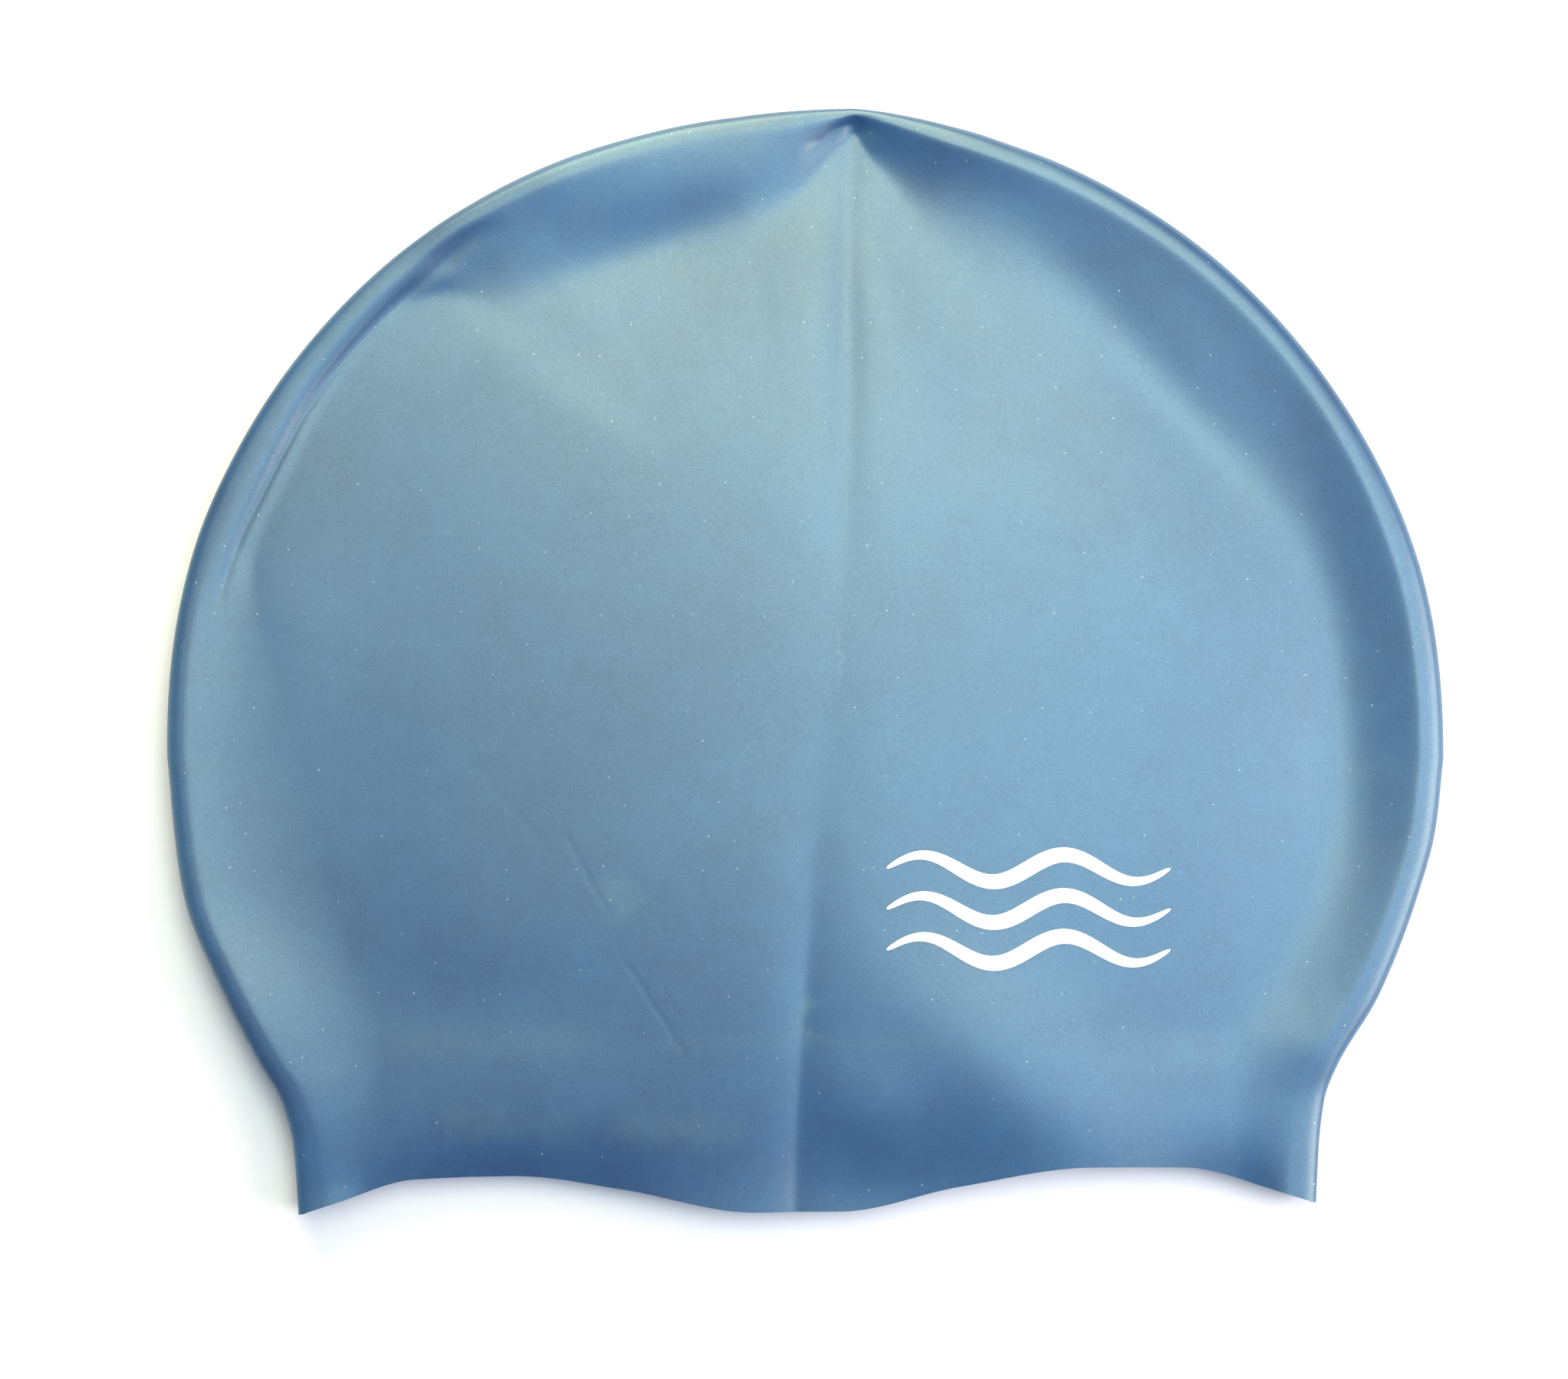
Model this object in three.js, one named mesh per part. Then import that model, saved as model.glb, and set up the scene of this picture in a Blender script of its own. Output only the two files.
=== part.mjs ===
// A silicone swim cap, moulded in one piece and lying flat on a table, as it does when it is taken off.
// Its two walls meet in a rolled edge that runs from one end of the hem over the crown to the other end.
// The hem is open, and the head goes in there. A packing crease runs up the middle of both walls.
//
// Millimetres. x runs across the cap, y from the lowest point of the hem up to the crown, and z up from
// the table. The group at the end moves the middle of the footprint to the origin.

import * as THREE from "three";
import { mergeVertices } from "three/addons/utils/BufferGeometryUtils.js";

// Driving dimensions
const capWidth = 220; // across the widest level
const capHeight = 191; // lowest point of the hem to the top of the crown
const widestLevel = 79; // height of the widest level above the lowest point of the hem
const wall = 1; // silicone, the same all over
const rollMiddle = 6.6; // the outline's own height above the table
const rollSquareness = 3.1; // power of the upper half of the roll's section: 2 is an ellipse, more is squarer
const rollShoulder = 0.8; // how the top of the roll is rounded into its inner slope
const footReach = 4.2; // how far in from the outline the cap stands on the table
const faceLevel = 7.7; // the upper face beside the roll
const faceRise = 3.9; // how much higher its middle stands
const roofRadius = 14; // how wide the top of that swelling is rounded
const valleyFade = 26; // the valley inside the roll fades out over this distance
const backLift = 0.7; // how far the lower wall stands off the table just inside the roll
const backLiftReach = 20; // where it lies on the table again
const backCreaseReach = 3; // how far the crease reaches to either side in the lower wall
const backCreaseRound = 1.5; // half width of its round bottom there
const backCreaseShare = 0.4; // how deep the crease is there, as a share of its depth in the upper wall
const backCreaseFoot = 0.05; // the share of its depth under which the lower wall is flat
const backCreaseFade = 8; // the crease fades out over this distance from the roll

const halfWidth = capWidth / 2;
const crownRise = capHeight - widestLevel;

// Half widths below the widest level. The neck is where the fold turns down into the two ends of the hem.
const sideRows = [
  { level: 0, left: 87.3, right: 88.3 },
  { level: 12, left: 88.3, right: 88.8 },
  { level: 20, left: 90.6, right: 89.7 },
  { level: 26, left: 94.2, right: 91.9 },
  { level: 38, left: 100.4, right: 98.9 },
  { level: 55, left: 107.2, right: 105.5 },
  { level: 67, left: 109, right: 108.7 },
  { level: widestLevel, left: halfWidth, right: halfWidth },
];

// The hem in plan: two arches, and a lobe between them.
const hemRows = [
  { across: -87.5, rise: 0 },
  { across: -80, rise: 2.4 },
  { across: -67, rise: 6.1 },
  { across: -49, rise: 6.6 },
  { across: -30, rise: 4.3 },
  { across: -7, rise: 0.5 },
  { across: 8, rise: 0.6 },
  { across: 28, rise: 5 },
  { across: 50, rise: 8.5 },
  { across: 66, rise: 8.3 },
  { across: 80, rise: 4.8 },
  { across: 88.3, rise: 2.2 },
];

// How far the upper face has swelled at each level, as a share of faceRise.
const swellRows = [
  { level: 0, share: 0.16 },
  { level: 8, share: 0.29 },
  { level: 20, share: 0.5 },
  { level: 40, share: 0.8 },
  { level: 65, share: 0.97 },
  { level: 95, share: 1 },
  { level: 120, share: 0.93 },
  { level: 145, share: 0.66 },
  { level: 165, share: 0.32 },
  { level: 180, share: 0.1 },
  { level: 191, share: 0 },
];

// The crease up the middle: where it runs, how deep it is pressed in, how far its left and right sides
// reach, and the half width of its round bottom.
const creaseRows = [
  { level: 0, across: -1.7, depth: 1, left: 2.4, right: 7, round: 0.8 },
  { level: 25, across: -0.8, depth: 0.95, left: 2.8, right: 7, round: 0.9 },
  { level: 40, across: 0.3, depth: 0.8, left: 3.2, right: 6.5, round: 1.2 },
  { level: 60, across: 1.6, depth: 0.55, left: 4, right: 6, round: 2 },
  { level: 75, across: 2.8, depth: 0.34, left: 5, right: 5.5, round: 3 },
  { level: 100, across: 5.4, depth: 0.2, left: 4, right: 4, round: 3 },
  { level: 125, across: 6.8, depth: 0.4, left: 2.6, right: 2.6, round: 2.4 },
  { level: 150, across: 7.2, depth: 0.6, left: 2.4, right: 2.2, round: 2.2 },
  { level: 168, across: 7.3, depth: 0.62, left: 2.8, right: 2, round: 2 },
  { level: 178, across: 7.6, depth: 0.55, left: 4.5, right: 1.9, round: 1.8 },
  { level: 184, across: 7.8, depth: 0.45, left: 4.5, right: 1.8, round: 1.6 },
  { level: 188, across: 8.6, depth: 0.4, left: 1.5, right: 1.5, round: 1.5 },
  { level: 191, across: 8.6, depth: 0.4, left: 1.5, right: 1.5, round: 1.5 },
];

// The rolled edge by its bearing from the middle of the widest level: 0 is right, 90 is the crown, and the
// hem's ends are at -41 and 221. out is how far the outline stands out from the plain ellipse of the crown,
// top the height of the roll, reach how far in its top lies, and fall how far in from there its inner slope
// meets the face. valley is how far that slope dips under the face, bend how much steeper it is at its
// start than on average, and ease how far it has the shape of a soft step instead.
const rollRows = [
  { bearing: -41, out: 0, top: 9.5, reach: 4.4, fall: 11, valley: 0.1, bend: 2, ease: 0.4 },
  { bearing: -28, out: 0, top: 10.4, reach: 4.4, fall: 15.5, valley: 0.6, bend: 2, ease: 0.3 },
  { bearing: 0, out: 0, top: 11.2, reach: 4.2, fall: 16, valley: 1, bend: 2, ease: 0.1 },
  { bearing: 18, out: 0.8, top: 11.3, reach: 4.2, fall: 17.5, valley: 1, bend: 2, ease: 0.1 },
  { bearing: 33, out: 0.4, top: 11.5, reach: 4, fall: 20.5, valley: 1, bend: 2, ease: 0.1 },
  { bearing: 53, out: 0, top: 11.9, reach: 3.8, fall: 24.5, valley: 1, bend: 1.8, ease: 0.1 },
  { bearing: 66, out: -0.3, top: 11.9, reach: 3.6, fall: 25, valley: 0.9, bend: 2, ease: 0.1 },
  { bearing: 76, out: -0.3, top: 11.5, reach: 3, fall: 20, valley: 0.7, bend: 2, ease: 0.15 },
  { bearing: 80, out: -0.1, top: 10.9, reach: 2.5, fall: 14, valley: 0.6, bend: 2, ease: 0.15 },
  { bearing: 83, out: 0.1, top: 10.2, reach: 2, fall: 8.5, valley: 0.4, bend: 2, ease: 0.1 },
  { bearing: 85.5, out: 0.2, top: 9.4, reach: 2, fall: 3.2, valley: 0.3, bend: 1.8, ease: 0 },
  { bearing: 86.4, out: 0.1, top: 9.4, reach: 2, fall: 7, valley: 0.3, bend: 1.6, ease: 0 },
  { bearing: 87.4, out: 0, top: 9.5, reach: 2, fall: 11, valley: 0.3, bend: 1.6, ease: 0.2 },
  { bearing: 89, out: -0.3, top: 9.7, reach: 2.2, fall: 14, valley: 0.3, bend: 1.6, ease: 0.4 },
  { bearing: 92, out: -0.6, top: 10.1, reach: 2.8, fall: 16.5, valley: 0.5, bend: 1.6, ease: 0.4 },
  { bearing: 97, out: -1, top: 10.7, reach: 3, fall: 19.5, valley: 0.7, bend: 1.6, ease: 0.6 },
  { bearing: 106, out: -0.9, top: 11.3, reach: 3.2, fall: 21, valley: 1, bend: 1.6, ease: 0.5 },
  { bearing: 113, out: -0.5, top: 11.4, reach: 3.2, fall: 22, valley: 0.9, bend: 1.7, ease: 0.2 },
  { bearing: 118, out: -0.2, top: 11.2, reach: 3, fall: 20.5, valley: 0.7, bend: 2.1, ease: 0 },
  { bearing: 121.5, out: 0, top: 11, reach: 2.8, fall: 18.5, valley: 0.6, bend: 2.4, ease: 0 },
  { bearing: 124.5, out: 0.2, top: 10.8, reach: 2.6, fall: 14.5, valley: 0.4, bend: 2.5, ease: 0 },
  { bearing: 127, out: 0.3, top: 10.5, reach: 2.6, fall: 9.5, valley: 0.3, bend: 2, ease: 0.2 },
  { bearing: 129, out: 0.4, top: 10.2, reach: 2.6, fall: 6, valley: 0.1, bend: 1.2, ease: 0.9 },
  { bearing: 132, out: 0.5, top: 10.1, reach: 2.6, fall: 5.2, valley: 0.1, bend: 1, ease: 1 },
  { bearing: 136, out: 0.6, top: 10, reach: 2.6, fall: 5.3, valley: 0.1, bend: 1, ease: 1 },
  { bearing: 143, out: 0.8, top: 9.9, reach: 2.7, fall: 5.8, valley: 0, bend: 1, ease: 1 },
  { bearing: 152, out: 1, top: 9.8, reach: 2.9, fall: 7.2, valley: 0, bend: 1, ease: 0.9 },
  { bearing: 160, out: 1.25, top: 9.7, reach: 3, fall: 6.8, valley: 0, bend: 1, ease: 0.8 },
  { bearing: 166, out: 1, top: 9.7, reach: 3, fall: 7.7, valley: 0, bend: 1.1, ease: 0.5 },
  { bearing: 175, out: 0.4, top: 10.1, reach: 3.2, fall: 14, valley: 0.2, bend: 1.6, ease: 0 },
  { bearing: 183, out: 0, top: 10.3, reach: 3.4, fall: 17, valley: 0.3, bend: 1.6, ease: 0 },
  { bearing: 200, out: 0, top: 10.2, reach: 3.8, fall: 19, valley: 0.3, bend: 1.8, ease: 0 },
  { bearing: 214, out: 0, top: 9, reach: 4, fall: 13, valley: 0.1, bend: 1.8, ease: 0.3 },
  { bearing: 221, out: 0, top: 8.1, reach: 4.4, fall: 8, valley: 0, bend: 1.6, ease: 0.6 },
];

// Soft swellings and hollows of the upper face: long ovals, turned by their bearing from the x axis. long
// and across are how far they reach along and across that bearing.
const swellings = [
  { x: -13, y: 180, height: 0.3, long: 14, across: 6, bearing: 14 },
  { x: -24, y: 169, height: -0.9, long: 27, across: 7, bearing: 23 },
  { x: 57, y: 149, height: -0.6, long: 30, across: 7, bearing: -50 },
  { x: 92, y: 88, height: -0.5, long: 32, across: 7, bearing: -85 },
  { x: -33, y: 158.5, height: 0.2, long: 20, across: 4.2, bearing: 28 },
  { x: -52, y: 36, height: -0.3, long: 26, across: 9, bearing: 0 },
  { x: -50, y: -1, height: -3, long: 23, across: 11, bearing: 3 },
  { x: -90, y: 85, height: 0.3, long: 34, across: 9, bearing: 90 },
  { x: 17, y: 4, height: -1.3, long: 22, across: 12, bearing: 0 },
  { x: 37, y: 24, height: 1.9, long: 27, across: 15, bearing: -44 },
  { x: 72, y: 0, height: -2, long: 13, across: 10, bearing: -10 },
];

// Sampling of the mesh: levels and fan angles of its rows, and distances of its columns.
const sideLevels = [0, 3, 8, 14, 19, 24, 30, 38, 47, 57, 68, widestLevel];
const crownFans = [
  6, 12, 18, 24, 30, 36, 42, 47, 52, 56, 60, 64, 68, 72, 76, 79, 82, 84.5, 86.5, 88.2, 90,
];
const rimSteps = 8; // from the foot of the roll round to its top
const nearRim = [0.8, 1.8, 3, 4.4, 6, 8, 10.5, 13.5, 17.5, 23, 31]; // columns inside the top of the roll
const nearSpine = [24, 12, 7.5, 4.6, 2.6, 1.2, 0]; // columns beside the crease
const nearRimBack = [3, 7, 12, backLiftReach]; // the same on the lower wall
const nearSpineBack = [30, 11, 5, 2.2, 0];
const mergeDistance = 1e-4; // points closer than this are one

const clamp01 = (v) => Math.min(1, Math.max(0, v));
const mix = (a, b, t) => a + (b - a) * t;
const smooth = (t) => t * t * (3 - 2 * t);

// A smooth curve through one column of a table, read at a place along another column.
function along(rows, keyName, valueName, key) {
  const last = rows.length - 1;
  const at = THREE.MathUtils.clamp(key, rows[0][keyName], rows[last][keyName]);
  let i = 0;
  while (i < last - 1 && at > rows[i + 1][keyName]) i += 1;
  const rise = (j) =>
    (rows[j + 1][valueName] - rows[j][valueName]) / (rows[j + 1][keyName] - rows[j][keyName]);
  const slope = (j) => {
    if (j === 0) return rise(0);
    if (j === last) return rise(last - 1);
    const before = rise(j - 1);
    const after = rise(j);
    return before * after <= 0 ? 0 : (2 * before * after) / (before + after);
  };
  const span = rows[i + 1][keyName] - rows[i][keyName];
  const t = (at - rows[i][keyName]) / span;
  const step = smooth(t);
  const curveIn = t * (1 - t) * (1 - t) * span * slope(i);
  const curveOut = t * t * (1 - t) * span * slope(i + 1);
  return mix(rows[i][valueName], rows[i + 1][valueName], step) + curveIn - curveOut;
}

// What the soft swellings and hollows add at a plan point.
function swellingHeight(x, y) {
  return swellings.reduce((sum, oval) => {
    const turn = THREE.MathUtils.degToRad(oval.bearing);
    const u = ((x - oval.x) * Math.cos(turn) + (y - oval.y) * Math.sin(turn)) / oval.long;
    const v = ((y - oval.y) * Math.cos(turn) - (x - oval.x) * Math.sin(turn)) / oval.across;
    return sum + oval.height * Math.exp(-u * u - v * v);
  }, 0);
}

// The crease's shape across, from 0 far away to 1 at its bottom.
function creaseShape(offset, left, right, round) {
  const reach = offset < 0 ? left : right;
  return Math.exp(-(Math.hypot(offset, round) - round) / reach);
}

const pullOfCrease = (offset) => (1 - (offset / halfWidth) ** 2) ** 2;
const creaseAcross = (y) => along(creaseRows, "level", "across", y);

// One row of the mesh runs straight in from the outline to the spine, which is the crease below the widest
// level and the crease's point there above it. place gives the row's plan points, with share 1 on the
// outline and 0 on the spine.
function sideRow(side, level) {
  const fade = 1 - level / widestLevel;
  const corner = side < 0 ? hemRows[0] : hemRows[hemRows.length - 1];
  const hemRise = (share) => along(hemRows, "across", "rise", corner.across * share) * fade;
  const x = side * along(sideRows, "level", side < 0 ? "left" : "right", level + hemRise(1));
  const below = THREE.MathUtils.radToDeg(Math.atan2(widestLevel - level - hemRise(1), Math.abs(x)));
  return {
    bearing: side < 0 ? 180 + below : -below,
    length: Math.abs(x),
    place: (share) => ({ offset: x * share, y: level + hemRise(share) }),
  };
}

// Rows of the crown fan out from the crease at the widest level. Near the crown they are pulled across with
// the crease, so that the one in the middle runs along it, and their ends stay on the outline.
function crownRow(fan) {
  const angle = THREE.MathUtils.degToRad(fan);
  const offset = halfWidth * Math.cos(angle);
  const levelThere = widestLevel + crownRise * Math.sin(angle);
  const bearing = Math.acos((offset + creaseAcross(levelThere) * pullOfCrease(offset)) / halfWidth);
  const rise = crownRise * Math.sin(bearing);
  return {
    bearing: THREE.MathUtils.radToDeg(bearing),
    length: Math.hypot(offset, rise),
    place: (share) => ({ offset: offset * share, y: widestLevel + rise * share }),
  };
}

// A plan point of a row at a distance in from the outline.
function planPoint(row, distance) {
  const { offset, y } = row.place(1 - (distance - rollValue(row, "out")) / row.length);
  return { x: offset + creaseAcross(y) * pullOfCrease(offset), y, offset };
}

const rollValue = (row, name) => along(rollRows, "bearing", name, row.bearing);

// The upper face away from the roll.
function faceHeight({ x, y, offset }) {
  const roofAcross = Math.hypot(offset, roofRadius) - roofRadius;
  const roofEnd = Math.hypot(halfWidth, roofRadius) - roofRadius;
  const swell = faceRise * along(swellRows, "level", "share", y) * (1 - roofAcross / roofEnd);
  const [left, right, round] = ["left", "right", "round"].map((name) => along(creaseRows, "level", name, y));
  const crease = along(creaseRows, "level", "depth", y) * creaseShape(offset, left, right, round);
  return faceLevel + swell + swellingHeight(x, y) - crease;
}

// The upper wall from the top of the roll inwards.
function upperPoint(row, inside) {
  const plan = planPoint(row, rollValue(row, "reach") + inside);
  const fall = rollValue(row, "fall");
  const softened = (distance) => Math.hypot(distance, rollShoulder) - rollShoulder;
  const q = clamp01(softened(inside) / softened(fall));
  const ramp = mix(1 - (1 - q) ** rollValue(row, "bend"), smooth(q), rollValue(row, "ease"));
  const beyond = clamp01((inside - fall) / valleyFade);
  const dip = rollValue(row, "valley") * smooth(clamp01(inside / fall)) * (1 - smooth(beyond));
  return new THREE.Vector3(plan.x, plan.y, mix(rollValue(row, "top"), faceHeight(plan), ramp) - dip);
}

// The lower wall from the foot of the roll inwards: flat on the table apart from a low lift beside the roll,
// and the same crease.
function lowerPoint(row, inside) {
  const plan = planPoint(row, footReach + inside);
  const lift = backLift * Math.sin(Math.PI * clamp01(inside / backLiftReach)) ** 2;
  const shape = creaseShape(plan.offset, backCreaseReach, backCreaseReach, backCreaseRound);
  const crease = Math.max(0, shape - backCreaseFoot) / (1 - backCreaseFoot);
  const depth = backCreaseShare * along(creaseRows, "level", "depth", plan.y);
  return new THREE.Vector3(plan.x, plan.y, lift + depth * clamp01(inside / backCreaseFade) * crease);
}

// The roll itself: a quarter ellipse from its foot out to the outline, and a squarer quarter from there up
// to its top.
function rimPoint(row, angle) {
  if (angle < 0) {
    const foot = planPoint(row, footReach * (1 - Math.cos(angle)));
    return new THREE.Vector3(foot.x, foot.y, rollMiddle * (1 + Math.sin(angle)));
  }
  const power = 2 / rollSquareness;
  const plan = planPoint(row, rollValue(row, "reach") * (1 - Math.max(0, Math.cos(angle)) ** power));
  const rise = rollValue(row, "top") - rollMiddle;
  return new THREE.Vector3(plan.x, plan.y, rollMiddle + rise * Math.sin(angle) ** power);
}

// All of a row's points on the outer surface, from the spine of the lower wall round to that of the upper.
function rowPoints(row) {
  const room = row.length + rollValue(row, "out");
  const backRoom = room - footReach;
  const frontRoom = room - rollValue(row, "reach");
  const back = [...nearRimBack, ...nearSpineBack.map((d) => backRoom - d)].reverse();
  const front = [...nearRim, ...nearSpine.map((d) => frontRoom - d)];
  const rim = Array.from({ length: rimSteps + 1 }, (_, i) => Math.PI * (i / rimSteps - 0.5));
  return [
    ...back.map((inside) => lowerPoint(row, inside)),
    ...rim.map((angle) => rimPoint(row, angle)),
    ...front.map((inside) => upperPoint(row, inside)),
  ];
}

function allRows() {
  const leftFans = crownFans.slice(0, -1).map((fan) => 180 - fan);
  return [
    ...sideLevels.map((level) => sideRow(1, level)),
    ...crownFans.map(crownRow),
    ...leftFans.reverse().map(crownRow),
    ...[...sideLevels].reverse().map((level) => sideRow(-1, level)),
  ];
}

// Two triangles for each square of a grid of vertex numbers.
function gridTriangles(columns, rows, first, flipped) {
  const faces = [];
  for (let r = 0; r + 1 < rows; r += 1) {
    for (let c = 0; c + 1 < columns; c += 1) {
      const a = first + r * columns + c;
      const across = flipped ? 1 : columns;
      const onward = flipped ? columns : 1;
      faces.push([a, a + across, a + columns + 1], [a, a + columns + 1, a + onward]);
    }
  }
  return faces;
}

// A geometry whose equal points are one vertex. Its index keeps the order of the faces' corners.
function mergedGeometry(points, faces) {
  const geometry = new THREE.BufferGeometry();
  geometry.setAttribute("position", new THREE.Float32BufferAttribute(points.flatMap((p) => p.toArray()), 3));
  geometry.setIndex(faces.flat());
  return mergeVertices(geometry, mergeDistance);
}

function dropEmptyTriangles(geometry) {
  const index = geometry.index.array;
  const kept = [];
  for (let i = 0; i < index.length; i += 3) {
    const [a, b, c] = [index[i], index[i + 1], index[i + 2]];
    if (a !== b && b !== c && c !== a) kept.push(a, b, c);
  }
  geometry.setIndex(kept);
}

// The outward direction at every point of the outer surface.
function outwardNormals(points, faces) {
  const geometry = mergedGeometry(points, faces);
  geometry.computeVertexNormals();
  const normals = [];
  faces.flat().forEach((corner, i) => {
    const vertex = geometry.index.array[i];
    normals[corner] = new THREE.Vector3().fromBufferAttribute(geometry.getAttribute("normal"), vertex);
  });
  return normals;
}

// The cap: its outer surface, the same surface moved in by the wall, and a band along the hem between them.
function capShell() {
  const rows = allRows();
  const outer = rows.flatMap(rowPoints);
  const columns = outer.length / rows.length;
  const outerFaces = gridTriangles(columns, rows.length, 0, false);
  const normals = outwardNormals(outer, outerFaces);
  const inner = outer.map((p, i) => p.clone().addScaledVector(normals[i], -wall));
  const innerFaces = gridTriangles(columns, rows.length, outer.length, true);
  const hemFaces = [];
  for (let c = 0; c + 1 < columns; c += 1) {
    const right = c;
    const rightInner = right + outer.length;
    const left = (rows.length - 1) * columns + c;
    const leftInner = left + outer.length;
    hemFaces.push([right, right + 1, rightInner + 1], [right, rightInner + 1, rightInner]);
    hemFaces.push([left, leftInner + 1, left + 1], [left, leftInner, leftInner + 1]);
  }
  const geometry = mergedGeometry([...outer, ...inner], [...outerFaces, ...innerFaces, ...hemFaces]);
  dropEmptyTriangles(geometry);
  geometry.computeVertexNormals();
  const silicone = new THREE.MeshStandardMaterial({ color: 0x6f9fc4, roughness: 0.45, metalness: 0.1 });
  const mesh = new THREE.Mesh(geometry, silicone);
  mesh.name = "cap_shell";
  return mesh;
}

const swimCap = new THREE.Group();
swimCap.name = "swim_cap";
swimCap.add(capShell());
swimCap.position.set(0, -capHeight / 2, 0);

export default swimCap;
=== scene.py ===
# A moulded silicone swim cap lying flat, seen from straight above.
import math

import bmesh
import bpy
import numpy as np
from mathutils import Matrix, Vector


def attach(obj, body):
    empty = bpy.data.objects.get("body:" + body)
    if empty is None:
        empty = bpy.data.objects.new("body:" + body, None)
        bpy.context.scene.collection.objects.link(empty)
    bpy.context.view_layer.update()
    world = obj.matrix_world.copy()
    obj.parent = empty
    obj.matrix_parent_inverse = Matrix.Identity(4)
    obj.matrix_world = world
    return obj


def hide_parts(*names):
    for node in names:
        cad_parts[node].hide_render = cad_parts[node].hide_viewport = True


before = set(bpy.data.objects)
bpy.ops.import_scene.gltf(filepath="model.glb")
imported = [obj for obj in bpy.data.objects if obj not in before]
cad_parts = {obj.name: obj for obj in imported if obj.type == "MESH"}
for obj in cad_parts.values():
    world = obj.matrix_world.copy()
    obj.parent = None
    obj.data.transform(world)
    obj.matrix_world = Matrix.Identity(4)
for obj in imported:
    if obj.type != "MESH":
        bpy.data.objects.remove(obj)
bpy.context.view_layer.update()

mm = 0.001


def table(names, *rows):
    columns = np.array(rows, dtype=float).T
    return dict(zip(names.split(), columns))


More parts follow.
